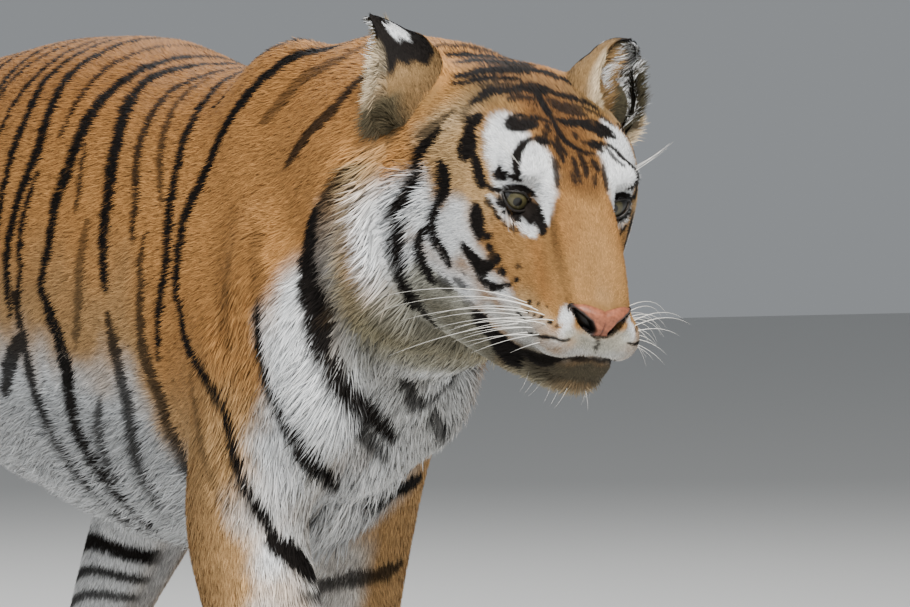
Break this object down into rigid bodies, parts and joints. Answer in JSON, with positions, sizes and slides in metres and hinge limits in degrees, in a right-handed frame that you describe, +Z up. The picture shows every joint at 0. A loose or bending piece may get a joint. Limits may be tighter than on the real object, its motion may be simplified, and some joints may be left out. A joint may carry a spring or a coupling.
{
  "type": "tiger",
  "caption": "Life-size standing Amur tiger in mid stride, head turned slightly to its right, mouth closed, tail carried low with a raised tip.",
  "frame": {"origin": "middle of the bounding box at the level of the paw soles, on the floor", "axes": "-Y is the way the tiger faces, +X is its left side, +Z is up"},
  "size_m": [0.3926, 2.2152, 0.9633],
  "materials": {
    "coat_orange": "short dense fur, orange with black stripes",
    "coat_tan": "short fur of the lower legs and paws, paler orange",
    "coat_white": "white fur of the chin",
    "ear_black": "black ear backs with a white spot",
    "eye_glass": "polished, amber iris"
  },
  "bodies": {
    "root": {"head": "coat_orange", "neck": "coat_orange", "chest": "coat_orange", "abdomen": "coat_orange", "hindquarters": "coat_orange", "tail_root": "coat_orange", "tail_middle": "coat_orange", "tail_lower": "coat_orange", "tail_tip": "coat_orange", "left_upper_foreleg": "coat_orange", "right_upper_foreleg": "coat_orange", "left_thigh": "coat_orange", "right_thigh": "coat_orange", "left_forearm": "coat_tan", "right_forearm": "coat_tan", "left_forepaw": "coat_tan", "right_forepaw": "coat_tan", "left_shank": "coat_tan", "right_shank": "coat_tan", "left_metatarsus": "coat_tan", "right_metatarsus": "coat_tan", "left_hind_paw": "coat_tan", "right_hind_paw": "coat_tan", "lower_jaw": "coat_white", "ear_left": "ear_black", "ear_right": "ear_black", "eye_left": "eye_glass", "eye_right": "eye_glass"}
  },
  "joints": []
}
